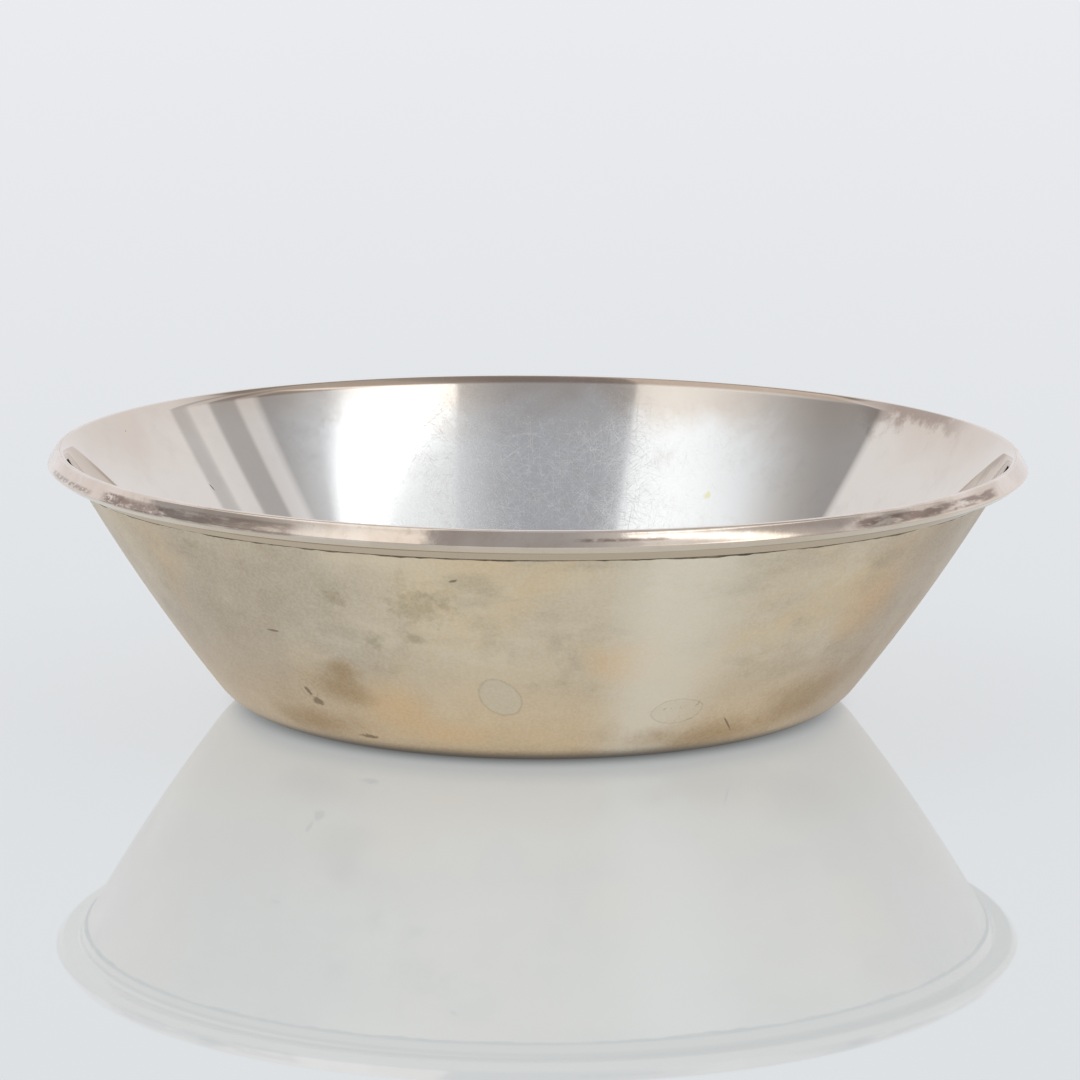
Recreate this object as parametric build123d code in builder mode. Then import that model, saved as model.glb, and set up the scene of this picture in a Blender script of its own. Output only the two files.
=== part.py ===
"""Offering bowl: a spun sheet-metal bowl with a moulded rim soldered under its turned-out lip.

Every piece is a solid of revolution about Z. Sections are drawn with x as the radius and y as the
height above the table, and revolved from the XZ plane. Sizes are millimetres.
"""
import os

from build123d import *

# Overall size
rim_diameter = 254.0  # across the outer edge of the rim, before the edge is rounded
height = 66.8  # from the table to the crest of the rim

# Spun body
sheet_thickness = 0.5
foot_diameter = 157.4  # where the line of the wall would meet the table
heel_radius = 17.0  # outside, between the base and the wall
wall_bow = 1.7  # how far the wall bulges outside its straight chord
ring_inner_diameter = 124.0  # where the push-up of the base starts
push_up = 1.5  # rise of the base at its centre
flare_length = 5.2  # of the wall's last stretch, which flares out to the lip
flare_reach = 0.85  # how far the flare carries the lip outside the line of the wall
flare_radius = 25.0  # between the wall and its flare
lip_width = 0.3  # of the turned-out lip, out from the line of the flare
lip_radius = 0.28  # under the turned-out lip

# Section of the rim
face_width = 2.2  # from the crest out to the outer edge
face_drop = 3.6  # from the crest down to the outer edge
face_hollow = 0.085  # how far the face dips inside its chord
crest_land = 0.65  # between the lip and the face, before the crest is rounded
crest_round = 0.95
edge_round = 0.25  # on the outer edge and on the bevel's lower edge
bevel_width = 2.0
bevel_drop = 1.7
cove_radius = 1.0  # between the underside and the apron
apron_thickness = 0.5
rim_depth = 7.9  # from the crest down to the lower edge of the apron

# Solder
solder_film = 0.1  # between the wall and the rim
bead_height = 0.5  # below the apron
bead_round = 0.35

# Radii and heights that follow from those sizes
rim_radius = rim_diameter / 2
crest_radius = rim_radius - face_width
bevel_radius = rim_radius - bevel_width
lip_edge_radius = crest_radius - crest_land
lip_underside = height - sheet_thickness
edge_height = height - face_drop
underside_height = edge_height - bevel_drop
apron_bottom = height - rim_depth
bead_bottom = apron_bottom - bead_height

# Corners of the outer line of the body before they are rounded
ring_start = (ring_inner_diameter / 2, 0)
wall_foot = (foot_diameter / 2, 0)
wall_top = (lip_edge_radius - lip_width - flare_reach, lip_underside)  # as if it had no flare
flare_top = (lip_edge_radius - lip_width, lip_underside)
lip_edge = (lip_edge_radius, lip_underside)


def corner_at(section, point):
    """Return the corner of a section that lies at a point."""
    return section.vertices().sort_by_distance(point)[0]


def band_round_wall(growth, low, high):
    """Return the section of the filled bowl, grown by a distance and cut between two heights."""
    with BuildSketch() as band:
        add(inside_wall.sketch)
        offset(amount=growth, kind=Kind.INTERSECTION)
        with Locations((0, low)):
            Rectangle(rim_diameter, high - low, align=(Align.MIN, Align.MIN), mode=Mode.INTERSECT)
    return band.sketch


# Outer line of the body, from the centre of the base to the edge of the lip
with BuildLine() as outside:
    TangentArc((0, push_up), ring_start, tangent=(1, 0))
    Line(ring_start, wall_foot)
    full_wall = SagittaArc(wall_foot, wall_top, -wall_bow, mode=Mode.PRIVATE)
    wall_share = 1 - flare_length / full_wall.length
    flare_start = full_wall @ wall_share
    ThreePointArc(wall_foot, full_wall @ (wall_share / 2), flare_start)
    Polyline(flare_start, flare_top, lip_edge)
    fillet(corner_at(outside, wall_foot), heel_radius)
    fillet(corner_at(outside, flare_start), flare_radius)
    fillet(corner_at(outside, flare_top), lip_radius)

# All that the rim fits round: the body with its hollow filled to the crest
with BuildSketch() as inside_wall:
    with BuildLine():
        add(outside.line)
        Polyline(lip_edge, (lip_edge_radius, height), (0, height), (0, push_up))
    make_face()

apron_band = band_round_wall(solder_film + apron_thickness, apron_bottom, edge_height)
bead_band = band_round_wall(solder_film + apron_thickness, bead_bottom, apron_bottom)
film_band = band_round_wall(solder_film, apron_bottom, height)

with BuildPart() as bowl_body:
    with BuildSketch(Plane.XZ):
        with BuildLine():
            add(outside.line)
            offset(amount=sheet_thickness, side=Side.LEFT)
        make_face()
    revolve(axis=Axis.Z)

with BuildPart() as rim_mount:
    with BuildSketch(Plane.XZ) as rim_section:
        with BuildLine():
            Line((0, height), (crest_radius, height))
            SagittaArc((crest_radius, height), (rim_radius, edge_height), -face_hollow)
            Polyline(
                (rim_radius, edge_height),
                (bevel_radius, underside_height),
                (0, underside_height),
                (0, height),
            )
        make_face()
        fillet(corner_at(rim_section, (crest_radius, height)), crest_round)
        fillet(corner_at(rim_section, (rim_radius, edge_height)), edge_round)
        fillet(corner_at(rim_section, (bevel_radius, underside_height)), edge_round)
        add(apron_band)
        on_underside = rim_section.vertices().group_by(lambda corner: abs(corner.Y - underside_height))[0]
        fillet(on_underside.sort_by(Axis.X)[-2], cove_radius)
        add(film_band, mode=Mode.SUBTRACT)
    revolve(axis=Axis.Z)

with BuildPart() as rim_solder:
    with BuildSketch(Plane.XZ) as solder_section:
        add(bead_band)
        fillet(solder_section.vertices().group_by(Axis.Y)[0].sort_by(Axis.X)[-1], bead_round)
        add(film_band)
        add(inside_wall.sketch, mode=Mode.SUBTRACT)
    revolve(axis=Axis.Z)

os.makedirs("parts", exist_ok=True)
bowl_body.part.label = "bowl_body"
rim_mount.part.label = "rim_mount"
rim_solder.part.label = "rim_solder"
export_step(bowl_body.part, "parts/bowl_body.step")
export_step(rim_mount.part, "parts/rim_mount.step")
export_step(rim_solder.part, "parts/rim_solder.step")
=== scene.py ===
"""Looks of the offering bowl: meshes turned from its section, worn silver plate, and a plain pale studio.

Sections are drawn in millimetres, with x as the radius and y as the height above the table, and turned
round Z into meshes in metres. Bearings are degrees round Z from the viewer's side, growing towards +X.
"""
import math

import bmesh
import bpy
from mathutils import Matrix, Vector, noise


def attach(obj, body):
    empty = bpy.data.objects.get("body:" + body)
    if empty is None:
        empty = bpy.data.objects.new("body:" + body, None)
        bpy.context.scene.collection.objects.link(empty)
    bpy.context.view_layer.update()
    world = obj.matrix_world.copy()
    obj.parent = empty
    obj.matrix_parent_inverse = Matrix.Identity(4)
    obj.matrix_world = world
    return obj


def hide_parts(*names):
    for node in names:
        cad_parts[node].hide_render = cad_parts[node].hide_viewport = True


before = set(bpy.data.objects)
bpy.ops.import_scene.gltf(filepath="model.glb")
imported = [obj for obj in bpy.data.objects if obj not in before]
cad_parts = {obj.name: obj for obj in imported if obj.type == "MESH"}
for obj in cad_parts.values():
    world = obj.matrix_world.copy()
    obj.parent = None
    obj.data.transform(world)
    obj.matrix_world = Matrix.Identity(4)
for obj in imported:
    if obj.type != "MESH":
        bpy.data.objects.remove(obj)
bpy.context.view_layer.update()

MM = 0.001

# Section of the body, in millimetres: its solid's sizes, but for a shorter flare with a tighter bend
height = 66.8
rim_radius = 127.0
sheet_thickness = 0.5
foot_radius = 78.7
heel_radius = 17.0
wall_bow = 1.7
ring_inner_radius = 62.0
push_up = 1.5
flare_length = 1.0
flare_reach = 0.4
flare_radius = 6.5
lip_width = 0.3
lip_radius = 0.28

# Section of the rim: its solid's sizes, but for a wider crest
face_width = 2.2
face_drop = 3.6
face_hollow = 0.085
crest_land = 1.1
crest_round = 0.95
edge_round = 0.25
bevel_width = 2.0
bevel_drop = 1.7
cove_radius = 1.0
apron_thickness = 0.5
rim_depth = 7.9

# Solder
solder_film = 0.1
bead_height = 0.5

# The real rim is out of level: it rises towards -X by this much of its radius
RIM_LEAN = 0.0054

# Steps round the axis and along each curve of a section
TURNS = 480
DOME_STEPS = 24
HEEL_STEPS = 32
WALL_STEPS = 64
FLARE_STEPS = 24
LIP_STEPS = 12
APRON_STEPS = 8
COVE_STEPS = 10
BEVEL_STEPS = 6
EDGE_STEPS = 8
FACE_STEPS = 24
CREST_STEPS = 16
BEAD_STEPS = 8

CREST_GAP = 0.1  # millimetres between the last point of the face and the first of the crest's round
WELD = 1e-7  # metres within which points are joined
SHARP = 35  # degrees from which an edge stays sharp

# Heights and radii that follow
crest_radius = rim_radius - face_width
bevel_radius = rim_radius - bevel_width
lip_edge_radius = crest_radius - crest_land
lip_underside = height - sheet_thickness
edge_height = height - face_drop
underside_height = edge_height - bevel_drop
apron_bottom = height - rim_depth


def angle_from(centre, point):
    """Angle of a point seen from a centre, in radians."""
    return math.atan2(point[1] - centre[1], point[0] - centre[0])


def arc(centre, radius, start, end, steps):
    """Points of an arc round a centre from one angle to another, both ends included."""
    angles = [start + (end - start) * step / steps for step in range(steps + 1)]
    return [(centre[0] + radius * math.cos(a), centre[1] + radius * math.sin(a)) for a in angles]


def bow_circle(start, end, bow):
    """Centre and radius of the arc between two points that bulges by a bow to the right of the way."""
    chord = Vector(end) - Vector(start)
    radius = chord.length_squared / (8 * abs(bow)) + abs(bow) / 2
    left = Vector((-chord.y, chord.x)).normalized()
    centre = (Vector(start) + Vector(end)) / 2 + left * math.copysign(radius - abs(bow), bow)
    return centre, radius


def bowed(start, end, bow, steps):
    """Points of the arc between two points that bulges by a bow to the right of the way."""
    centre, radius = bow_circle(start, end, bow)
    return arc(centre, radius, angle_from(centre, start), angle_from(centre, end), steps)


def rounded(before, corner, after, radius, steps):
    """Points of the arc that rounds a corner between two straight sides."""
    corner = Vector(corner)
    back = (Vector(before) - corner).normalized()
    on = (Vector(after) - corner).normalized()
    half = back.angle(on) / 2
    centre = corner + (back + on).normalized() * radius / math.sin(half)
    start = angle_from(centre, corner + back * radius / math.tan(half))
    end = angle_from(centre, corner + on * radius / math.tan(half))
    turn = (end - start + math.pi) % (2 * math.pi) - math.pi
    return arc(centre, radius, start, start + turn, steps)


# The wall's outer line is one arc, and all that lies on the wall is an arc round the same centre
flare_top = Vector((lip_edge_radius - lip_width, lip_underside))
wall_top = (flare_top.x - flare_reach, lip_underside)
wall_centre, wall_radius = bow_circle((foot_radius, 0), wall_top, wall_bow)
flare_turn = angle_from(wall_centre, wall_top) - flare_length / wall_radius
flare_start = wall_centre + wall_radius * Vector((math.cos(flare_turn), math.sin(flare_turn)))
flare_slope = angle_from(flare_start, flare_top)
flare_normal = Vector((math.sin(flare_slope), -math.cos(flare_slope)))


def radius_on_wall(level, clearance=0.0):
    """Radius at a height of a line that lies outside the wall by a clearance."""
    return wall_centre.x + math.sqrt((wall_radius + clearance) ** 2 - (level - wall_centre.y) ** 2)


def hollow_under(level, clearance, radius):
    """Centre of the arc that joins a line round the wall to a flat above it."""
    centre_height = level - radius
    reach = math.sqrt((wall_radius + clearance + radius) ** 2 - (centre_height - wall_centre.y) ** 2)
    return Vector((wall_centre.x + reach, centre_height))


def flare_hollow():
    """Centre of the arc that joins the wall to its flare."""
    way = (flare_top - flare_start).normalized()
    beside = flare_start + flare_normal * flare_radius - wall_centre
    along = beside.dot(way)
    back = math.sqrt(along**2 - beside.length_squared + (wall_radius + flare_radius) ** 2)
    return wall_centre + beside + way * (back - along)


heel_reach = math.sqrt((wall_radius - heel_radius) ** 2 - (heel_radius - wall_centre.y) ** 2)
heel_centre = Vector((wall_centre.x + heel_reach, heel_radius))
heel_end = angle_from(wall_centre, heel_centre)
flare_centre = flare_hollow()
wall_end = angle_from(wall_centre, flare_centre)
flare_end = flare_slope + math.pi / 2
lip_tangent = lip_radius * math.tan(flare_slope / 2)
lip_centre = Vector((flare_top.x + lip_tangent, lip_underside - lip_radius))


def wall_above(start, inset):
    """The sheet's line, moved inwards by an inset, from an angle on the wall to the lip's edge."""
    line = arc(wall_centre, wall_radius - inset, start, wall_end, WALL_STEPS)
    line += arc(flare_centre, flare_radius + inset, wall_end + math.pi, flare_end, FLARE_STEPS)[1:]
    line += arc(lip_centre, lip_radius + inset, flare_end, math.pi / 2, LIP_STEPS)
    return line + [(lip_edge_radius - min(inset, 0), lip_underside + inset)]


def sheet_line(inset):
    """One face of the sheet, moved inwards by an inset, from the centre of the base to the lip's edge."""
    dome_radius = (ring_inner_radius**2 + push_up**2) / (2 * push_up)
    dome_centre = (0, push_up - dome_radius)
    dome_edge = angle_from(dome_centre, (ring_inner_radius, 0))
    line = arc(dome_centre, dome_radius + inset, math.pi / 2, dome_edge, DOME_STEPS)
    line += arc(heel_centre, heel_radius - inset, -math.pi / 2, heel_end, HEEL_STEPS)
    return line + wall_above(heel_end, inset)[1:]


def under_lip(clearance):
    """Line outside the sheet by a clearance, from the apron's lower edge up the wall and under the lip."""
    start = angle_from(wall_centre, (radius_on_wall(apron_bottom, clearance), apron_bottom))
    return wall_above(start, -clearance) + [(lip_edge_radius + clearance, height)]


def rim_line():
    """Section of the rim, from the apron's lower outer corner over the face and the crest and back inside."""
    apron = solder_film + apron_thickness
    cove_centre = hollow_under(underside_height, apron, cove_radius)
    cove_start = angle_from(wall_centre, cove_centre)
    apron_start = angle_from(wall_centre, (radius_on_wall(apron_bottom, apron), apron_bottom))
    edge = (rim_radius, edge_height)
    bevel_foot = (bevel_radius, underside_height)
    face = bowed(edge, (crest_radius, height), -face_hollow, FACE_STEPS)
    crest = rounded(face[-2], (crest_radius, height), (0, height), crest_round, CREST_STEPS)
    face_bottom = edge_height + 2 * edge_round
    face_top = crest[0][1] - CREST_GAP
    line = arc(wall_centre, wall_radius + apron, apron_start, cove_start, APRON_STEPS)
    line += arc(cove_centre, cove_radius, cove_start + math.pi, math.pi / 2, COVE_STEPS)[1:]
    line += rounded((0, underside_height), bevel_foot, edge, edge_round, BEVEL_STEPS)
    line += rounded(bevel_foot, edge, face[1], edge_round, EDGE_STEPS)
    line += [point for point in face if face_bottom < point[1] < face_top]
    return line + crest + list(reversed(under_lip(solder_film)))


def turned(name, section_at, closed, finishes):
    """Turn a section round Z into a new piece.

    section_at gives the section at a bearing in radians, and finishes a material slot for each of its points.
    """
    points = []
    for step in range(TURNS):
        bearing = math.tau * step / TURNS
        for r, z in section_at(bearing):
            x = r * math.sin(bearing)
            lean = RIM_LEAN * x * z / height
            points.append((x * MM, -r * math.cos(bearing) * MM, (z - lean) * MM))
    count = len(finishes)
    faces = []
    slots = []
    for step in range(TURNS):
        here = step * count
        there = (step + 1) % TURNS * count
        for i in range(count if closed else count - 1):
            j = (i + 1) % count
            faces.append((here + i, there + i, there + j, here + j))
            slots.append(finishes[i])
    mesh = bpy.data.meshes.new(name)
    mesh.from_pydata(points, [], faces)
    mesh.polygons.foreach_set("material_index", slots)
    shape = bmesh.new()
    shape.from_mesh(mesh)
    bmesh.ops.remove_doubles(shape, verts=shape.verts, dist=WELD)
    bmesh.ops.recalc_face_normals(shape, faces=shape.faces)
    shape.to_mesh(mesh)
    shape.free()
    mesh.shade_smooth()
    mesh.set_sharp_from_angle(angle=math.radians(SHARP))
    piece = bpy.data.objects.new(name, mesh)
    bpy.context.scene.collection.objects.link(piece)
    return piece


UNROLLED_RADIUS = 0.1  # metres, of the wall that unrolled coordinates lay flat
HAIR_SHIFT = 9  # most lengths that a row of hairs is moved along
HAIR_TAPER = 0.15  # of a hair's length, at each end


class Painter:
    """Adds nodes to a node tree. An input that is a socket is linked, and any other is set as the value."""

    def __init__(self, tree):
        self.tree = tree

    def node(self, kind, inputs=None, **settings):
        made = self.tree.nodes.new(kind)
        for name, value in settings.items():
            setattr(made, name, value)
        for key, value in (inputs or {}).items():
            if isinstance(value, bpy.types.NodeSocket):
                self.tree.links.new(value, made.inputs[key])
            else:
                made.inputs[key].default_value = value
        return made

    def math(self, operation, first, second=0.0):
        return self.node("ShaderNodeMath", {0: first, 1: second}, operation=operation).outputs[0]

    def times(self, first, *others):
        for other in others:
            first = self.math("MULTIPLY", first, other)
        return first

    def plus(self, first, *others):
        for other in others:
            first = self.math("ADD", first, other)
        return first

    def vector(self, operation, first, second):
        return self.node("ShaderNodeVectorMath", {0: first, 1: second}, operation=operation)

    def ramp(self, value, low, high):
        """0 below low and 1 above high, smooth between them; low may be the higher of the two."""
        inputs = {"Value": value, "From Min": low, "From Max": high}
        return self.node("ShaderNodeMapRange", inputs, interpolation_type="SMOOTHSTEP").outputs[0]

    def window(self, value, low, high, soft):
        """1 between two values and 0 outside them, with soft ends."""
        rise = self.ramp(value, low - soft, low + soft)
        fall = self.ramp(value, high + soft, high - soft)
        return self.times(rise, fall)

    def mix(self, amount, first, second, blend="MIX"):
        settings = {"data_type": "RGBA", "blend_type": blend}
        return self.node("ShaderNodeMix", {0: amount, 6: first, 7: second}, **settings).outputs[2]

    def blend(self, amount, first, second):
        return self.node("ShaderNodeMix", {0: amount, 2: first, 3: second}, data_type="FLOAT").outputs[0]

    def even(self, level):
        """A grey of a level."""
        return self.node("ShaderNodeCombineColor", {0: level, 1: level, 2: level}).outputs[0]

    def place(self):
        return self.node("ShaderNodeTexCoord").outputs["Object"]

    def parts(self, vector):
        return self.node("ShaderNodeSeparateXYZ", {0: vector}).outputs

    def cloud(self, vector, size, detail=4.0, roughness=0.55, distortion=0.0, seed=0.0):
        """Noise with features of a size in metres."""
        inputs = {
            "Vector": vector,
            "W": seed,
            "Scale": 1 / size,
            "Detail": detail,
            "Roughness": roughness,
            "Distortion": distortion,
        }
        return self.node("ShaderNodeTexNoise", inputs, noise_dimensions="4D").outputs[0]

    def bearing(self, place):
        """Bearing of a place in degrees."""
        x, y = self.parts(place)[:2]
        return self.times(self.math("ARCTAN2", x, self.times(y, -1)), math.degrees(1))

    def unrolled(self, place):
        """The wall rolled out flat, in metres, with its seam on the viewer's side."""
        x, y, z = self.parts(place)
        round_wall = self.times(self.math("ARCTAN2", x, y), UNROLLED_RADIUS)
        return self.node("ShaderNodeCombineXYZ", {0: round_wall, 1: z}).outputs[0]

    def drawn_out(self, flat, turn, length, width):
        """Coordinates on a flat surface, turned and counted in lengths and widths."""
        inputs = {"Vector": flat, "Rotation": (0, 0, turn), "Scale": (length, width, 1)}
        return self.node("ShaderNodeMapping", inputs, vector_type="TEXTURE").outputs[0]

    def chance(self, first, second, seed):
        """A random number from 0 to 1 for each pair of whole numbers."""
        pair = self.node("ShaderNodeCombineXYZ", {0: first, 1: second, 2: seed}).outputs[0]
        drawn = self.node("ShaderNodeTexWhiteNoise", {"Vector": pair}, noise_dimensions="3D")
        return drawn.outputs["Value"]

    def hairs(self, flat, turn, length, width, share, seed):
        """Fine straight strokes of one direction on a flat surface: up to 1 along them, 0 between them."""
        along, across = self.parts(self.drawn_out(flat, turn, length, width))[:2]
        row = self.math("FLOOR", across)
        along = self.plus(along, self.times(self.chance(row, 0.0, seed), HAIR_SHIFT))
        drawn = self.ramp(self.chance(self.math("FLOOR", along), row, seed), 1 - share, 1)
        edges = self.ramp(self.math("PINGPONG", across, 0.5), 0.0, 0.5)
        ends = self.ramp(self.math("PINGPONG", along, 0.5), 0.0, HAIR_TAPER)
        return self.times(drawn, edges, ends)

    def from_mark(self, place, mark, ragged=0.0, grain=0.003):
        """How far a place is from the middle of a mark, 1 being its edge.

        A mark is a bearing, a height, half its width and half its height along the wall, and its turn.
        """
        bearing, level, half_width, half_height, turn = mark
        bearing = math.radians(bearing)
        turn = math.radians(turn)
        round_z = Matrix.Rotation(bearing, 3, "Z")
        slope = angle_from(wall_centre, (radius_on_wall(level), level))
        middle = round_z @ Vector((0, -radius_on_wall(level), level)) * MM
        across = round_z @ Vector((1, 0, 0))
        upward = round_z @ Vector((0, math.sin(slope), math.cos(slope)))
        first = (across * math.cos(turn) + upward * math.sin(turn)) / (half_width * MM)
        second = (upward * math.cos(turn) - across * math.sin(turn)) / (half_height * MM)
        offset = self.vector("SUBTRACT", place, middle).outputs[0]
        u = self.vector("DOT_PRODUCT", offset, first).outputs["Value"]
        v = self.vector("DOT_PRODUCT", offset, second).outputs["Value"]
        distance = self.math("SQRT", self.plus(self.times(u, u), self.times(v, v)))
        if ragged:
            wave = self.times(self.plus(self.cloud(place, grain, detail=3), -0.5), ragged)
            distance = self.plus(distance, wave)
        return distance

    def tinted(self, tone, tint, where, share=None):
        """A tone mixed with a tint where a mask is 1, wholly or by a share."""
        amount = where if share is None else self.times(where, share)
        return self.mix(amount, tone, tint)

    def daubed(self, tone, tint, place, marks, edge, core, ragged, grain, share=None):
        """A tone with marks of a tint on it, which fade from their core to their edge."""
        for mark in marks:
            near = self.ramp(self.from_mark(place, mark, ragged, grain), edge, core)
            tone = self.tinted(tone, tint, near, share)
        return tone


def grey(level):
    return (level, level, level, 1)


def colour(red, green, blue):
    return (red, green, blue, 1)


def metal(name):
    """A new all-metal material, its painter and its shader node."""
    material = bpy.data.materials.new(name)
    material.use_nodes = True
    shader = material.node_tree.nodes["Principled BSDF"]
    shader.inputs["Metallic"].default_value = 1
    return material, Painter(material.node_tree), shader


def finish(paint, shader, tone, rough, relief, depth):
    """Join tone, roughness and a relief with a depth in metres to a shader."""
    bump = paint.node("ShaderNodeBump", {"Strength": 1.0, "Distance": depth, "Height": relief})
    paint.tree.links.new(tone, shader.inputs["Base Color"])
    paint.tree.links.new(rough, shader.inputs["Roughness"])
    paint.tree.links.new(bump.outputs[0], shader.inputs["Normal"])


# Marks on the outside: bearing, height, half width, half height along the wall, turn
WATER_STAIN = (-5.5, 20.2, 5.0, 6.8, 20)
SPECKLED_STAIN = (22.2, 14.7, 6.8, 4.6, 0)
CHIP = (-37.0, 14.5, 1.9, 1.9, -25)
CHIP_TAIL = (-37.9, 17.0, 0.9, 2.0, 10)
CHIP_RING = (-37.6, 18.0, 2.6, 3.4, 0)
HEEL_MARK = (-30, 5.6, 3.4, 1.0, 0)
SCRATCH = (33, 9.2, 0.35, 4.2, 38)
HOOK_SCRATCH = (-10, 52.6, 1.4, 0.45, 20)
SPECKS = (-38.5, 34, 2.6, 0.5, 0)
DARK_MARKS = (CHIP, CHIP_TAIL, HEEL_MARK, SCRATCH, HOOK_SCRATCH, SPECKS)
SMUDGES = (
    (-22, 34.6, 2.2, 3.6, 0),
    (-16, 36, 2.6, 2.2, 0),
    (-26, 46, 3.6, 3.0, 0),
    (-46, 55, 3.4, 1.8, 0),
    (-15, 45, 9, 6, 0),
)
GOLD_PATCHES = (
    (-22, 15, 13, 11, 0),
    (51, 41.5, 15, 13, 20),
    (13, 30, 14, 10, 0),
    (-14, 9, 14, 6, 0),
)
BROWN_CLOUDS = (
    (-31, 19, 9, 5.5, -15),
    (-29, 25, 6, 4, 0),
    (30, 6, 26, 6, 0),
    (50, 14, 18, 9, 10),
    (-40, 8, 14, 5, 0),
)

# Heights in metres where tones of the outside begin and are full
WARM_LEVELS = (0.034, 0.006)
HEEL_LEVELS = (0.0115, 0.0040)
# painted contact shadow at the foot, darkest in the lowest millimetre
CONTACT_SHADE_LEVELS = (0.0048, 0.0006)

# Bearings where tones of the outside begin and are full
# where the pale band of painted reflection begins and is full, on each side
REFLECTION_LEFT = (6, 16)
REFLECTION_RIGHT = (32, 18)
# bearings of the painted shade on the sides that turn away from the camera
RIGHT_SIDE = (38, 60)
LEFT_SIDE = (-24, -52)
NEAR_SIDE = (115, 70)

SQUAT = (1, 1, 3)  # stretch of the coordinates of wiped streaks, which lie flat
HEEL_WAVE = 0.010  # metres of noise in the heel's upper edge
LEFT_SIDE_SHARE = 0.5  # of the right side's darkness
GRIT_SHARE = 0.11
OUTSIDE_ROUGH = (0.34, 0.42)

# Tones of the outside
CHAMPAGNE = colour(0.84, 0.71, 0.53)
DULL_CHAMPAGNE = colour(0.67, 0.57, 0.445)
HONEY = colour(0.86, 0.67, 0.43)
WIPED_DARK = colour(0.52, 0.44, 0.32)
WIPED_PALE = colour(0.93, 0.81, 0.62)
MOTTLED_DARK = colour(0.54, 0.45, 0.33)
MOTTLED_PALE = colour(0.90, 0.80, 0.64)
GOLD = colour(0.88, 0.60, 0.33)
WARM = colour(0.85, 0.63, 0.39)
# painted reflection of the lit floor, a pale band near the middle
PAINTED_REFLECTION = colour(0.96, 0.87, 0.73)
# painted shade on the sides turned away from the camera
PAINTED_SIDE_SHADE = colour(0.46, 0.355, 0.265)
HEEL_BROWN = colour(0.46, 0.31, 0.18)
CLOUD_BROWN = colour(0.46, 0.30, 0.145)
# painted contact shadow along the foot
PAINTED_CONTACT_SHADE = colour(0.10, 0.07, 0.04)
SMUDGE = colour(0.40, 0.33, 0.20)
STAIN_PALE = colour(0.76, 0.68, 0.54)
STAIN_EDGE = colour(0.48, 0.40, 0.29)
SPECKLED_PALE = colour(0.80, 0.70, 0.54)
SPECKLED_EDGE = colour(0.45, 0.36, 0.25)
SPECKLED_SPOT = colour(0.40, 0.32, 0.22)
CHIP_EDGE = colour(0.42, 0.33, 0.23)
DARK_METAL = colour(0.20, 0.13, 0.08)


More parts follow.
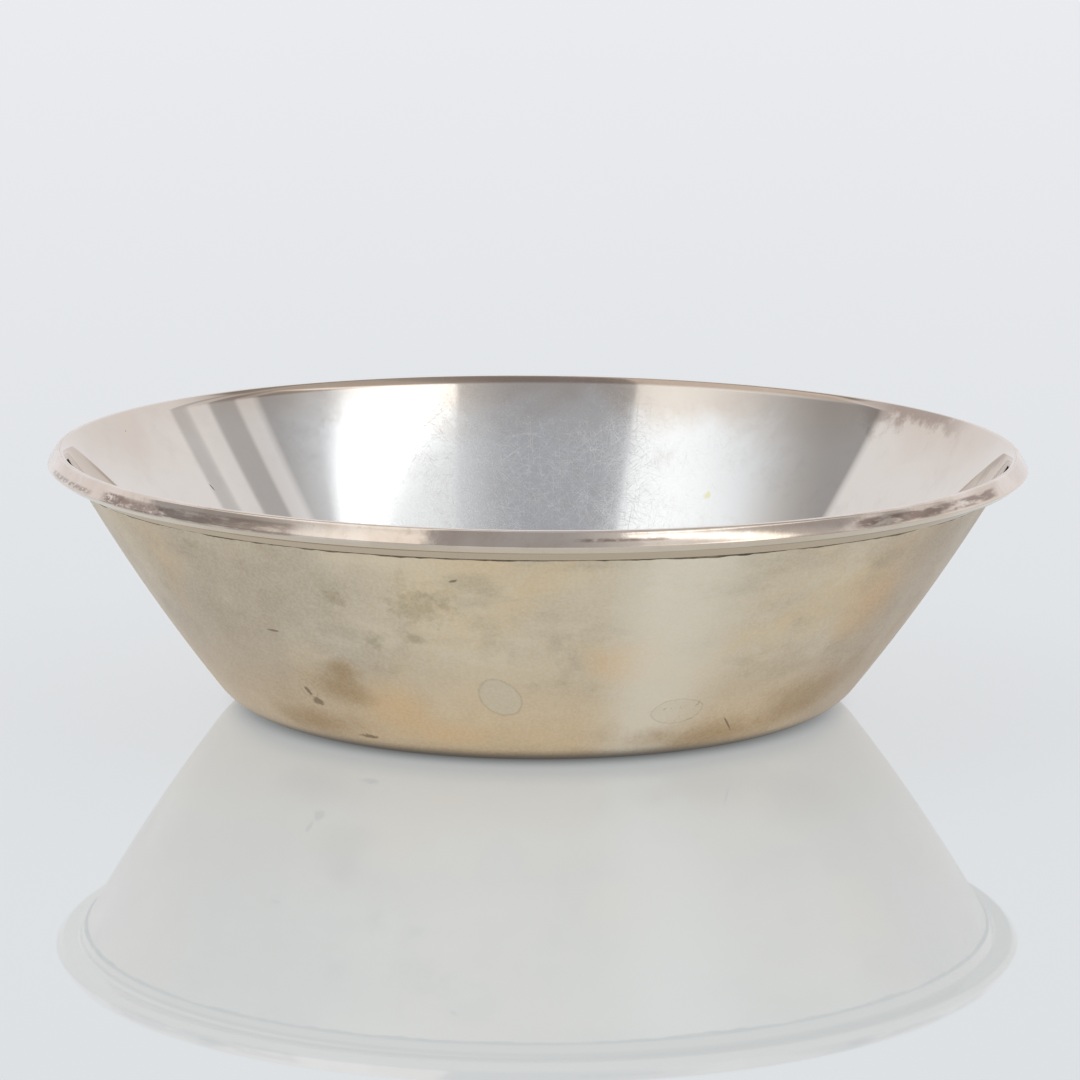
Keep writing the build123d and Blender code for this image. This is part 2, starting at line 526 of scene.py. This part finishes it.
def outside_finish():
    """Satin plate, warm with tarnish: champagne with golden and brown clouds, a brown heel, and stains; a
    painted reflection band near the middle, painted shade on the sides, and a painted contact shadow at the
    foot.
    """
    material, paint, shader = metal("plated_outside")
    place = paint.place()
    level = paint.parts(place)[2]
    wide = paint.cloud(place, size=0.075, detail=4, roughness=0.5, distortion=0.4, seed=1)
    other = paint.cloud(place, size=0.050, detail=5, roughness=0.55, distortion=0.6, seed=4)
    mid = paint.cloud(place, size=0.014, detail=6, roughness=0.65, distortion=0.4, seed=2)
    grit = paint.cloud(place, size=0.0008, detail=3, roughness=0.7, seed=7)
    tone = paint.mix(paint.ramp(wide, 0.36, 0.64), CHAMPAGNE, DULL_CHAMPAGNE)
    tone = paint.tinted(tone, HONEY, paint.ramp(other, 0.50, 0.70), share=0.8)
    squat = paint.vector("MULTIPLY", place, SQUAT).outputs[0]
    wiped = paint.cloud(squat, size=0.030, detail=5, roughness=0.6, seed=15)
    tone = paint.tinted(tone, WIPED_DARK, paint.ramp(wiped, 0.52, 0.70), share=0.40)
    tone = paint.tinted(tone, WIPED_PALE, paint.ramp(wiped, 0.46, 0.30), share=0.35)
    tone = paint.tinted(tone, MOTTLED_DARK, paint.ramp(mid, 0.50, 0.72), share=0.42)
    tone = paint.tinted(tone, MOTTLED_PALE, paint.ramp(mid, 0.48, 0.28), share=0.35)
    tone = paint.daubed(
        tone, GOLD, place, GOLD_PATCHES, edge=1.2, core=0.2, ragged=1.6, grain=0.02, share=0.75
    )
    tone = paint.tinted(tone, WARM, paint.ramp(level, *WARM_LEVELS), share=0.65)
    bearing = paint.bearing(place)
    # Painted reflection: a pale band just right of the middle, where the lit floor shows
    reflection_band = paint.times(paint.ramp(bearing, *REFLECTION_LEFT), paint.ramp(bearing, *REFLECTION_RIGHT))
    tone = paint.tinted(tone, PAINTED_REFLECTION, reflection_band, share=0.75)
    # Painted shade: the sides darken where they turn away from the camera, the right more than the left
    right_side = paint.ramp(bearing, *RIGHT_SIDE)
    left_side = paint.ramp(bearing, *LEFT_SIDE)
    turned_away = paint.plus(right_side, paint.times(left_side, LEFT_SIDE_SHARE))
    near_side = paint.ramp(paint.math("ABSOLUTE", bearing), *NEAR_SIDE)
    tone = paint.tinted(tone, PAINTED_SIDE_SHADE, paint.times(turned_away, near_side), share=0.62)
    heel = paint.ramp(paint.plus(level, paint.times(mid, HEEL_WAVE)), *HEEL_LEVELS)
    tone = paint.tinted(tone, HEEL_BROWN, heel, share=0.52)
    tone = paint.daubed(
        tone, CLOUD_BROWN, place, BROWN_CLOUDS, edge=1.4, core=0.1, ragged=1.3, grain=0.009, share=0.64
    )
    # Painted contact shadow: the foot turns nearly black towards the table
    tone = paint.tinted(tone, PAINTED_CONTACT_SHADE, paint.ramp(level, *CONTACT_SHADE_LEVELS), share=0.92)
    tone = paint.daubed(
        tone, SMUDGE, place, SMUDGES, edge=1.2, core=0.2, ragged=2.6, grain=0.0025, share=0.42
    )
    stain = paint.from_mark(place, WATER_STAIN, ragged=0.25)
    tone = paint.tinted(tone, STAIN_PALE, paint.ramp(stain, 1.0, 0.85), share=0.55)
    tone = paint.tinted(tone, STAIN_EDGE, paint.window(stain, 0.93, 1.0, soft=0.06), share=0.45)
    speckled = paint.from_mark(place, SPECKLED_STAIN, ragged=0.3)
    tone = paint.tinted(tone, SPECKLED_PALE, paint.ramp(speckled, 1.0, 0.88), share=0.30)
    spots = paint.ramp(paint.cloud(place, size=0.0013, detail=2, seed=11), 0.60, 0.68)
    spotted = paint.times(spots, paint.ramp(speckled, 1.15, 0.9))
    tone = paint.tinted(tone, SPECKLED_SPOT, spotted, share=0.5)
    tone = paint.tinted(tone, SPECKLED_EDGE, paint.window(speckled, 0.95, 1.0, soft=0.05), share=0.4)
    ring = paint.from_mark(place, CHIP_RING, ragged=0.4)
    tone = paint.tinted(tone, CHIP_EDGE, paint.window(ring, 0.93, 1.0, soft=0.08), share=0.45)
    tone = paint.daubed(
        tone, DARK_METAL, place, DARK_MARKS, edge=1.0, core=0.45, ragged=1.5, grain=0.0012, share=0.7
    )
    tone = paint.mix(GRIT_SHARE, tone, paint.even(paint.ramp(grit, 0.30, 0.70)), blend="OVERLAY")
    rough = paint.blend(paint.ramp(mid, 0.3, 0.7), *OUTSIDE_ROUGH)
    relief = paint.plus(paint.times(wide, 1.0), paint.times(grit, 0.012))
    finish(paint, shader, tone, rough, relief, depth=0.0006)
    return material


# Marks inside, as those on the outside
YELLOW_SPECK = (153, 37, 1.3, 1.3, 0)
BLACK_MARK = (-125, 44.2, 0.18, 1.4, -25)
BLACK_DOT = (-112, 62.6, 0.2, 0.2, 0)

# Scratches inside
HAIRS = 7  # directions
HAIR_LENGTH = 0.0070
HAIR_WIDTH = 0.00013
HAIR_SHARE = 0.14  # of each direction's rows
HAIR_DEPTH = 0.0000012
SPARSE = 0.12  # share of the scratches that the sides and the top have
SPARSE_ENDS = 0.4  # share that the middle keeps at both its ends
HAIR_BEND = 0.006  # metres by which noise bends them
HAIR_SEED = 5

# Heights in metres where tones inside begin and are full, and what noise adds to two of them
LOWER_LEVELS = (0.066, 0.046)
TOP_LEVELS = (0.070, 0.088)
CRUST_LEVELS = (0.0735, 0.0800)
# heights of the painted shade below the lip
LIP_LEVELS = (0.0647, 0.0655)
TOP_WAVE = 0.040
CRUST_WAVE = 0.030

# Bearings where tones inside begin and are full, counted to both sides
MIDDLE_BEARINGS = (140, 154)
SCRATCHED_BEARINGS = (158, 170)
SIDE_BEARINGS = (149, 136)
# bearings of the painted shade below the lip
LIP_BEARINGS = (122, 140)
CRUST_BEARINGS = (112, 130)  # first and last bearing, on one side only

# Tones inside
SILVER = colour(0.87, 0.88, 0.88)
BEIGE = colour(0.77, 0.715, 0.64)
TOP_BROWN = colour(0.69, 0.60, 0.51)
CRUST_BROWN = colour(0.34, 0.26, 0.21)
# painted shade below the lip
PAINTED_LIP_SHADE = colour(0.40, 0.31, 0.24)
DULL_GREY = colour(0.58, 0.53, 0.49)
YELLOW = colour(0.80, 0.77, 0.46)
BLACK = colour(0.08, 0.07, 0.06)

# Roughness inside: of the sides, of the middle above and below, and what scratches and fog add to it
SIDE_HAZE = 0.025
UPPER_HAZE = 0.05
LOWER_HAZE = 0.08
HAIR_HAZE = 0.40
FOG_HAZE = 0.17


def inside_finish():
    """Polished plate under a web of fine scratches, beige at the sides, with painted shade below the lip on
    the far side.
    """
    material, paint, shader = metal("plated_inside")
    place = paint.place()
    level = paint.parts(place)[2]
    bearing = paint.math("ABSOLUTE", paint.bearing(place))
    flat = paint.unrolled(place)
    wide = paint.cloud(place, size=0.040, detail=5, roughness=0.6, distortion=0.5, seed=3)
    mid = paint.cloud(place, size=0.009, detail=6, roughness=0.7, seed=5)
    worn = paint.cloud(place, size=0.022, detail=4, roughness=0.6, seed=6)
    bend = paint.times(paint.plus(paint.cloud(place, size=0.030, detail=1, seed=8), -0.5), HAIR_BEND)
    bends = paint.node("ShaderNodeCombineXYZ", {0: bend, 1: bend}).outputs[0]
    bent = paint.vector("ADD", flat, bends).outputs[0]
    web = 0.0
    for layer in range(HAIRS):
        turn = math.pi * (layer + 0.5 * noise.random()) / HAIRS
        length = HAIR_LENGTH * (0.5 + noise.random())
        web = paint.plus(paint.hairs(bent, turn, length, HAIR_WIDTH, HAIR_SHARE, layer), web)
    lower = paint.ramp(level, *LOWER_LEVELS)
    middle = paint.ramp(bearing, *MIDDLE_BEARINGS)
    density = paint.times(
        paint.blend(paint.times(lower, middle), SPARSE, 1.0),
        paint.blend(paint.ramp(bearing, *SCRATCHED_BEARINGS), SPARSE_ENDS, 1.0),
        paint.ramp(worn, 0.25, 0.55),
    )
    web = paint.times(web, density)
    sides = paint.ramp(bearing, *SIDE_BEARINGS)
    top = paint.ramp(paint.plus(level, paint.times(wide, TOP_WAVE)), *TOP_LEVELS)
    tone = paint.tinted(SILVER, BEIGE, sides, share=0.9)
    tone = paint.tinted(tone, TOP_BROWN, top, share=0.75)
    crust = paint.times(
        paint.window(paint.bearing(place), *CRUST_BEARINGS, soft=5),
        paint.ramp(paint.plus(level, paint.times(mid, CRUST_WAVE)), *CRUST_LEVELS),
    )
    tone = paint.tinted(tone, CRUST_BROWN, crust, share=0.75)
    # Painted shade: a dark band just below the lip, on the far side of the inside
    lip = paint.times(paint.ramp(level, *LIP_LEVELS), paint.ramp(bearing, *LIP_BEARINGS))
    tone = paint.tinted(tone, PAINTED_LIP_SHADE, lip, share=0.85)
    tone = paint.tinted(tone, DULL_GREY, paint.ramp(mid, 0.48, 0.78), share=0.30)
    tone = paint.daubed(
        tone, YELLOW, place, (YELLOW_SPECK,), edge=1.1, core=0.4, ragged=2.2, grain=0.0012, share=0.8
    )
    black_marks = (BLACK_MARK, BLACK_DOT)
    tone = paint.daubed(tone, BLACK, place, black_marks, edge=1.0, core=0.7, ragged=0.6, grain=0.001)
    haze = paint.blend(middle, SIDE_HAZE, paint.blend(lower, UPPER_HAZE, LOWER_HAZE))
    fog = paint.times(paint.ramp(paint.cloud(place, size=0.0001, detail=0, seed=13), 0.45, 0.65), middle)
    scratched = paint.times(paint.math("MINIMUM", web, 1.0), HAIR_HAZE)
    rough = paint.plus(haze, scratched, paint.times(fog, FOG_HAZE))
    finish(paint, shader, tone, rough, web, depth=HAIR_DEPTH)
    return material


# Marks on the rim: first and last bearing, lowest and highest level in millimetres
SMUDGE_LINE = (4.5, 14, 64.4, 65.0)
SPOT_CHAIN = (-76, -61, 64.2, 65.2)
SOOT = (-57.5, -53, 63.6, 66.0)
LEFT_CRUST = (-55, -27, 63.2, 65.9)
LEFT_STAIN = (-53.5, -45, 63.4, 65.4)
RIGHT_CRUST = (37, 64, 63.2, 65.2)

# Bands round the rim, in millimetres of height
APRON_LEVELS = (underside_height, underside_height - 0.4)  # where its tone begins and is full
# painted shade in the cove between the bevel and the apron
COVE_LEVELS = (underside_height - 0.9, underside_height - 0.1)
# painted reflection of the floor on the bevel
BEVEL_LEVELS = (underside_height + 0.1, edge_height - 0.1)

RIM_ROUGH = (0.08, 0.20)

# Tones of the rim
PINK_PALE = colour(0.80, 0.71, 0.625)
PINK_BROWN = colour(0.68, 0.575, 0.48)
# painted shade in the cove under the bevel
FINE_BROWN = colour(0.50, 0.38, 0.30)
CRUST_DARK = colour(0.24, 0.17, 0.135)
APRON_GOLD = colour(0.61, 0.50, 0.38)
PAINTED_COVE_SHADE = colour(0.27, 0.20, 0.13)
# painted reflection of the floor on the bevel
PAINTED_BEVEL_REFLECTION = colour(0.78, 0.66, 0.52)


def rim_finish():
    """Polished plate, pinkish brown with tarnish, with dark smudges and spots, and a golden apron, with
    painted shade in the cove above it and a painted reflection on the bevel.
    """
    material, paint, shader = metal("plated_rim")
    place = paint.place()
    level = paint.parts(place)[2]
    bearing = paint.bearing(place)
    wide = paint.cloud(place, size=0.022, detail=5, roughness=0.6, distortion=0.6, seed=2)
    fine = paint.cloud(place, size=0.0022, detail=5, roughness=0.7, seed=6)
    tone = paint.mix(paint.ramp(wide, 0.35, 0.65), PINK_PALE, PINK_BROWN)
    tone = paint.tinted(tone, FINE_BROWN, paint.ramp(fine, 0.5, 0.75), share=0.25)
    flat = paint.unrolled(place)
    long_spots = paint.drawn_out(flat, turn=0, length=0.0080, width=0.0018)
    streaks = paint.cloud(long_spots, size=1, detail=5, roughness=0.6, seed=12)
    short_spots = paint.drawn_out(flat, turn=0, length=0.0018, width=0.0009)
    dabs = paint.cloud(short_spots, size=1, detail=3, roughness=0.6, seed=9)
    for spots, mark, share in (
        (streaks, LEFT_CRUST, 0.55),
        (streaks, RIGHT_CRUST, 0.80),
        (dabs, SMUDGE_LINE, 0.75),
        (dabs, SPOT_CHAIN, 0.65),
        (dabs, SOOT, 0.85),
        (dabs, LEFT_STAIN, 0.60),
    ):
        first, last, low, high = mark
        near = paint.times(
            paint.window(bearing, first, last, soft=1.2),
            paint.window(level, low * MM, high * MM, soft=0.0003),
            paint.ramp(spots, 0.38, 0.54),
        )
        tone = paint.tinted(tone, CRUST_DARK, near, share)
    apron_start, apron_full = APRON_LEVELS
    tone = paint.tinted(tone, APRON_GOLD, paint.ramp(level, apron_start * MM, apron_full * MM))
    # Painted shade in the cove under the bevel, and a painted reflection of the floor on the bevel
    for (low, high), soft, tint, share in (
        (COVE_LEVELS, 0.0002, PAINTED_COVE_SHADE, 0.75),
        (BEVEL_LEVELS, 0.0001, PAINTED_BEVEL_REFLECTION, 0.6),
    ):
        tone = paint.tinted(tone, tint, paint.window(level, low * MM, high * MM, soft), share)
    rough = paint.blend(paint.ramp(fine, 0.4, 0.8), *RIM_ROUGH)
    relief = paint.plus(paint.times(wide, 1.0), paint.times(fine, 0.05))
    finish(paint, shader, tone, rough, relief, depth=0.00008)
    return material


SOLDER_DARK = colour(0.10, 0.08, 0.06)
SOLDER_PALE = colour(0.34, 0.27, 0.19)
# painted highlight where the solder shows at the crest
PAINTED_CREST_HIGHLIGHT = colour(0.76, 0.64, 0.55)
HIGHLIGHT_LEVELS = (0.062, 0.064)  # heights in metres between which the solder turns bright
SOLDER_ROUGH = (0.40, 0.55)


def solder_finish():
    """Dark tarnished solder; where it shows at the crest it is painted bright, a painted highlight along the
    crest.
    """
    material, paint, shader = metal("dark_solder")
    place = paint.place()
    level = paint.parts(place)[2]
    fine = paint.cloud(place, size=0.003, detail=5, roughness=0.7)
    tone = paint.mix(paint.ramp(fine, 0.35, 0.7), SOLDER_DARK, SOLDER_PALE)
    # Painted highlight: the solder turns bright near the crest
    tone = paint.tinted(tone, PAINTED_CREST_HIGHLIGHT, paint.ramp(level, *HIGHLIGHT_LEVELS))
    rough = paint.blend(fine, *SOLDER_ROUGH)
    finish(paint, shader, tone, rough, fine, depth=0.0001)
    return material


outer_line = sheet_line(0)
inner_line = sheet_line(sheet_thickness)
body_line = outer_line + list(reversed(inner_line))
body_slots = [0] * len(outer_line) + [1] * len(inner_line)
noise.seed_set(HAIR_SEED)
body = turned("plated_body", lambda bearing: body_line, closed=False, finishes=body_slots)
body.data.materials.append(outside_finish())
body.data.materials.append(inside_finish())

rim_section = rim_line()
rim_slots = [0] * len(rim_section)
rim = turned("plated_rim", lambda bearing: rim_section, closed=True, finishes=rim_slots)
rim.data.materials.append(rim_finish())

# Unevenness of the bead: about so many waves per radian round the bowl, and a seed
LONG_WAVES = (9, 3.1)
SHORT_WAVES = (40, 8.2)
GIRTH_WAVES = (25, 5.7)

# Least and most of the bead's usual height, and of the apron's thickness that it fills
LEAST_DROP = 0.25
MOST_DROP = 1.9
LEAST_GIRTH = 0.3
MOST_GIRTH = 1.0


def ragged(bearing, waves, seed):
    """Smooth noise between -1 and 1 that closes on itself round the bowl."""
    return noise.noise(Vector((waves * math.sin(bearing), waves * math.cos(bearing), seed)))


def solder_section(bearing):
    """The film behind the rim, and a bead below the apron whose height and girth change round the bowl."""
    reach = 0.9 + 0.7 * ragged(bearing, *LONG_WAVES) + 0.6 * ragged(bearing, *SHORT_WAVES)
    drop = bead_height * min(max(reach, LEAST_DROP), MOST_DROP)
    filled = 0.8 + 0.6 * ragged(bearing, *GIRTH_WAVES)
    girth = solder_film + apron_thickness * min(max(filled, LEAST_GIRTH), MOST_GIRTH)
    foot = apron_bottom - drop
    bead = [(radius_on_wall(foot), foot)]
    for step in range(1, BEAD_STEPS):
        turn = math.pi / 2 * step / BEAD_STEPS
        level = apron_bottom - drop * math.cos(turn)
        bead.append((radius_on_wall(level, girth * math.sin(turn)), level))
    bead.append((radius_on_wall(apron_bottom, girth), apron_bottom))
    return bead + under_lip(solder_film) + list(reversed(under_lip(0)))


solder_slots = [0] * len(solder_section(0))
solder = turned("rim_solder_bead", solder_section, closed=True, finishes=solder_slots)
solder.data.materials.append(solder_finish())

for piece, node, slot in (
    (body, "bowl_body", "plated_body"),
    (rim, "rim_mount", "plated_rim"),
    (solder, "rim_solder", "solder"),
):
    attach(piece, "root")
    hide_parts(node)

# Floor: a pale glossy table top, part of whose paleness only the camera and mirrors see. Sizes are metres
FLOOR_REACH = 8.0
FLOOR_STEPS = 96
FLOOR_DROP = 0.00005  # keeps the floor clear of the bowl
FLOOR_TONE = colour(0.76, 0.795, 0.805)
FLOOR_EVEN = 0.70  # share of the paleness that takes no shadow,
SHADE_INSIDE = 0.066  # none of it this near the axis,
SHADE_OUTSIDE = 0.084  # and all of it from here on
FLOOR_GLOSS = 0.02  # roughness of the mirror image
FLOOR_IOR = 1.45

floor_mesh = bpy.data.meshes.new("floor")
ring = arc((0, 0), FLOOR_REACH, 0, math.tau * (1 - 1 / FLOOR_STEPS), FLOOR_STEPS - 1)
floor_mesh.from_pydata([(x, y, 0) for x, y in ring], [], [tuple(range(FLOOR_STEPS))])
floor = bpy.data.objects.new("floor", floor_mesh)
floor.location.z = -FLOOR_DROP
bpy.context.scene.collection.objects.link(floor)

table = bpy.data.materials.new("pale_table")
table.use_nodes = True
top = Painter(table.node_tree)
top.tree.nodes.clear()
ray = top.node("ShaderNodeLightPath").outputs
matt = top.node("ShaderNodeBsdfDiffuse", {"Color": FLOOR_TONE}).outputs[0]
even = top.node("ShaderNodeEmission", {"Color": FLOOR_TONE, "Strength": 1.0}).outputs[0]
seen = top.math("MAXIMUM", ray["Is Camera Ray"], ray["Is Glossy Ray"])
from_axis = top.vector("DISTANCE", top.place(), (0, 0, 0)).outputs["Value"]
clear = top.ramp(from_axis, SHADE_INSIDE, SHADE_OUTSIDE)
even_share = top.times(seen, clear, FLOOR_EVEN)
pale = top.node("ShaderNodeMixShader", {0: even_share, 1: matt, 2: even}).outputs[0]
gloss = top.node("ShaderNodeBsdfGlossy", {"Color": grey(1.0), "Roughness": FLOOR_GLOSS}).outputs[0]
sheen = top.node("ShaderNodeFresnel", {"IOR": FLOOR_IOR}).outputs[0]
surface = top.node("ShaderNodeMixShader", {0: sheen, 1: pale, 2: gloss}).outputs[0]
top.node("ShaderNodeOutputMaterial", {0: surface})
floor_mesh.materials.append(table)

# Light: a studio all round, with a large soft box overhead on each side. The boxes are drawn on a ceiling
# one unit above the bowl, and their edges are given as where they begin and are full
BACKDROP = colour(0.88, 0.88, 0.93)
LEAST_UP = 0.05  # least rise that a direction is taken to have, so that the ceiling ends

RIGHT_BOX = 2.0
RIGHT_BACK = 0.82  # light of the right box at its highest
RIGHT_BACK_UP = (0.785, 0.745)
RIGHT_GLOW = 0.35  # light round the right box
RIGHT_MIDDLE_X = 0.40
RIGHT_MIDDLE_Y = -0.30
RIGHT_INNER = (0.385, 0.40)
RIGHT_ROUND = (0.64, 0.47)
GLOW_INNER = (0.10, 0.40)
GLOW_ROUND = (0.95, 0.60)

LEFT_BOX = 1.15
LEFT_FLAP = 0.8  # share of its light that the left box has at its front
LEFT_FLAP_EDGE = (-0.76, -0.74)
LEFT_INNER = 0.17
LEFT_SLANT = -0.385
LEFT_SOFT = 0.008
LEFT_OUTER = (1.42, 0.60)
LEFT_FRONT = (-1.15, -1.05)
LEFT_REAR = (0.50, 0.40)

world = bpy.data.worlds.new("studio")
world.use_nodes = True
bpy.context.scene.world = world
sky = Painter(world.node_tree)
sky.tree.nodes.clear()
direction = sky.node("ShaderNodeTexCoord").outputs["Generated"]
across, along, up = sky.parts(direction)
safe_up = sky.math("MAXIMUM", up, LEAST_UP)
ceiling_x = sky.math("DIVIDE", across, safe_up)
ceiling_y = sky.math("DIVIDE", along, safe_up)

# The right box is round, with a straight inner edge
from_middle_x = sky.plus(ceiling_x, -RIGHT_MIDDLE_X)
from_middle_y = sky.plus(ceiling_y, -RIGHT_MIDDLE_Y)
squared_x = sky.times(from_middle_x, from_middle_x)
squared_y = sky.times(from_middle_y, from_middle_y)
from_middle = sky.math("SQRT", sky.plus(squared_x, squared_y))
right_box = sky.times(sky.ramp(ceiling_x, *RIGHT_INNER), sky.ramp(from_middle, *RIGHT_ROUND))
glow_shape = sky.times(sky.ramp(ceiling_x, *GLOW_INNER), sky.ramp(from_middle, *GLOW_ROUND))
right_glow = sky.times(glow_shape, RIGHT_GLOW)
right_light = sky.even(sky.blend(sky.ramp(up, *RIGHT_BACK_UP), RIGHT_BACK, RIGHT_BOX))

# The left box is long and fades outwards
left_x = sky.times(ceiling_x, -1)
left_inner = sky.plus(sky.times(ceiling_y, LEFT_SLANT), LEFT_INNER)
left_box = sky.times(
    sky.ramp(sky.math("SUBTRACT", left_x, left_inner), -LEFT_SOFT, LEFT_SOFT),
    sky.ramp(left_x, *LEFT_OUTER),
    sky.blend(sky.ramp(ceiling_y, *LEFT_FLAP_EDGE), LEFT_FLAP, 1.0),
    sky.ramp(ceiling_y, *LEFT_FRONT),
    sky.ramp(ceiling_y, *LEFT_REAR),
)

# The studio's walls: bearing and level
STUDIO_ROUND = (
    (-180, 0.88),
    (-108.6, 0.88),
    (-107.6, 0.40),
    (-75, 0.41),
    (0, 0.39),
    (88.0, 0.43),
    (89.0, 0.76),
    (94.2, 0.76),
    (95.0, 0.49),
    (102.6, 0.49),
    (103.8, 0.82),
    (110.6, 0.86),
    (111.2, 0.63),
    (115.4, 0.63),
    (116.0, 0.88),
    (180, 0.88),
)
PALE_BLUE = 1.05  # how much more blue than red the walls have
HORIZON = colour(0.88, 0.88, 0.88 * PALE_BLUE)
HORIZON_UP = (0.20, 0.10)
CEILING_BEHIND = grey(0.36)
CEILING_UP = (0.70, 0.76)
CEILING_ALONG = (0.15, 0.25)

azimuth = sky.math("ARCTAN2", across, sky.times(along, -1))
around = sky.node("ShaderNodeValToRGB", {0: sky.plus(sky.times(azimuth, 1 / math.tau), 0.5)})
steps = around.color_ramp.elements
while len(steps) < len(STUDIO_ROUND):
    steps.new(1.0)
for step, (bearing, level) in zip(steps, STUDIO_ROUND):
    step.position = bearing / 360 + 0.5
    step.color = colour(level, level, level * PALE_BLUE)
high_behind = sky.times(sky.ramp(up, *CEILING_UP), sky.ramp(along, *CEILING_ALONG))
room = sky.mix(high_behind, around.outputs[0], CEILING_BEHIND)
room = sky.mix(sky.ramp(up, *HORIZON_UP), room, HORIZON)
lit = sky.mix(right_glow, room, grey(1.0))
lit = sky.mix(right_box, lit, right_light)
lit = sky.mix(left_box, lit, grey(LEFT_BOX))
ray = sky.node("ShaderNodeLightPath").outputs
shown = sky.mix(ray["Is Camera Ray"], lit, BACKDROP)
glow = sky.node("ShaderNodeBackground", {"Color": shown, "Strength": 1.0})
sky.node("ShaderNodeOutputWorld", {"Surface": glow.outputs[0]})

# Camera, fitted to the outline: place in metres, angles in degrees, sensor and lens in millimetres
CAMERA_PLACE = Vector((0, -1.1347, 0.2516))
CAMERA_TILT = 79.516
CAMERA_TURN = -0.0292
CAMERA_ROLL = 0.14
CAMERA_SENSOR = 36
CAMERA_LENS = 147.27
camera_data = bpy.data.cameras.new("camera")
camera_data.sensor_width = CAMERA_SENSOR
camera_data.lens = CAMERA_LENS
camera = bpy.data.objects.new("camera", camera_data)
bpy.context.scene.collection.objects.link(camera)
camera.matrix_world = (
    Matrix.Translation(CAMERA_PLACE)
    @ Matrix.Rotation(math.radians(CAMERA_TURN), 4, "Z")
    @ Matrix.Rotation(math.radians(CAMERA_TILT), 4, "X")
    @ Matrix.Rotation(math.radians(CAMERA_ROLL), 4, "Z")
)
bpy.context.scene.camera = camera
bpy.context.scene.view_settings.view_transform = "Standard"
